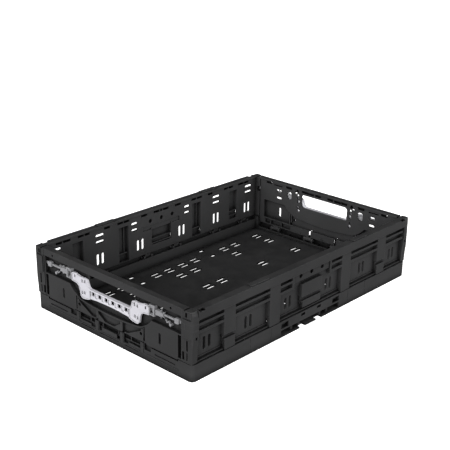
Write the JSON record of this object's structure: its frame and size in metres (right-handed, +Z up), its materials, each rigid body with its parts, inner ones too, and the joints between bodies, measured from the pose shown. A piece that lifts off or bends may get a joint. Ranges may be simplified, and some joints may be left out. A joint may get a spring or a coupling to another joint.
{
  "type": "folding crate",
  "caption": "Low folding crate with slotted walls: its end walls fold in onto the floor, each held up by a sprung grip bar that draws side bolts.",
  "frame": {"origin": "centre of the footprint, on the flat underside of the floor", "axes": "+X along the long side, +Y along the short side, +Z up; the near end wall is at -X and the near long wall at -Y"},
  "size_m": [0.6, 0.4, 0.124],
  "materials": {
    "tray_plastic": "satin moulded polypropylene, fine grain",
    "wall_plastic": "satin moulded polypropylene, fine grain",
    "grip_plastic": "satin moulded acetal, off-white",
    "bolt_plastic": "satin moulded acetal, light grey",
    "pin_steel": "drawn wire"
  },
  "bodies": {
    "tray": {"base_tray": "tray_plastic", "near_long_wall": "wall_plastic", "far_long_wall": "wall_plastic", "near_long_hinge_pins": "pin_steel", "far_long_hinge_pins": "pin_steel", "near_end_hinge_pins": "pin_steel", "far_end_hinge_pins": "pin_steel", "near_left_corner_post": "wall_plastic", "near_right_corner_post": "wall_plastic", "far_left_corner_post": "wall_plastic", "far_right_corner_post": "wall_plastic"},
    "near_end_wall": {"near_end_wall": "wall_plastic", "near_left_guide_clip": "bolt_plastic", "near_right_guide_clip": "bolt_plastic", "near_left_spring": "bolt_plastic", "near_right_spring": "bolt_plastic"},
    "near_grip_bar": {"near_grip_bar": "grip_plastic"},
    "near_left_bolt": {"near_left_bolt": "bolt_plastic"},
    "near_right_bolt": {"near_right_bolt": "bolt_plastic"},
    "far_end_wall": {"far_end_wall": "wall_plastic", "far_left_guide_clip": "bolt_plastic", "far_right_guide_clip": "bolt_plastic", "far_left_spring": "bolt_plastic", "far_right_spring": "bolt_plastic"},
    "far_grip_bar": {"far_grip_bar": "grip_plastic"},
    "far_left_bolt": {"far_left_bolt": "bolt_plastic"},
    "far_right_bolt": {"far_right_bolt": "bolt_plastic"}
  },
  "joints": [
    {"name": "near_end_fold", "type": "hinge", "parent": "tray", "child": "near_end_wall", "pos_m": [-0.289, 0, 0.013], "axis": [0, 1, 0], "range_deg": [0, 90]},
    {"name": "near_grip_lift", "type": "slide", "parent": "near_end_wall", "child": "near_grip_bar", "axis": [0, 0, 1], "range_m": [0, 0.008], "stiffness_N_per_m": 400, "springref_m": -0.006},
    {"name": "near_left_bolt_draw", "type": "slide", "parent": "near_end_wall", "child": "near_left_bolt", "axis": [0, -1, 0], "range_m": [0, 0.008]},
    {"name": "near_right_bolt_draw", "type": "slide", "parent": "near_end_wall", "child": "near_right_bolt", "axis": [0, 1, 0], "range_m": [0, 0.008]},
    {"name": "far_end_fold", "type": "hinge", "parent": "tray", "child": "far_end_wall", "pos_m": [0.289, 0, 0.013], "axis": [0, -1, 0], "range_deg": [0, 90]},
    {"name": "far_grip_lift", "type": "slide", "parent": "far_end_wall", "child": "far_grip_bar", "axis": [0, 0, 1], "range_m": [0, 0.008], "stiffness_N_per_m": 400, "springref_m": -0.006},
    {"name": "far_left_bolt_draw", "type": "slide", "parent": "far_end_wall", "child": "far_left_bolt", "axis": [0, -1, 0], "range_m": [0, 0.008]},
    {"name": "far_right_bolt_draw", "type": "slide", "parent": "far_end_wall", "child": "far_right_bolt", "axis": [0, 1, 0], "range_m": [0, 0.008]}
  ],
  "couplings": [
    {"joint": "near_left_bolt_draw", "follows": "near_grip_lift", "ratio": 1},
    {"joint": "near_right_bolt_draw", "follows": "near_grip_lift", "ratio": 1},
    {"joint": "far_left_bolt_draw", "follows": "far_grip_lift", "ratio": 1},
    {"joint": "far_right_bolt_draw", "follows": "far_grip_lift", "ratio": 1}
  ]
}
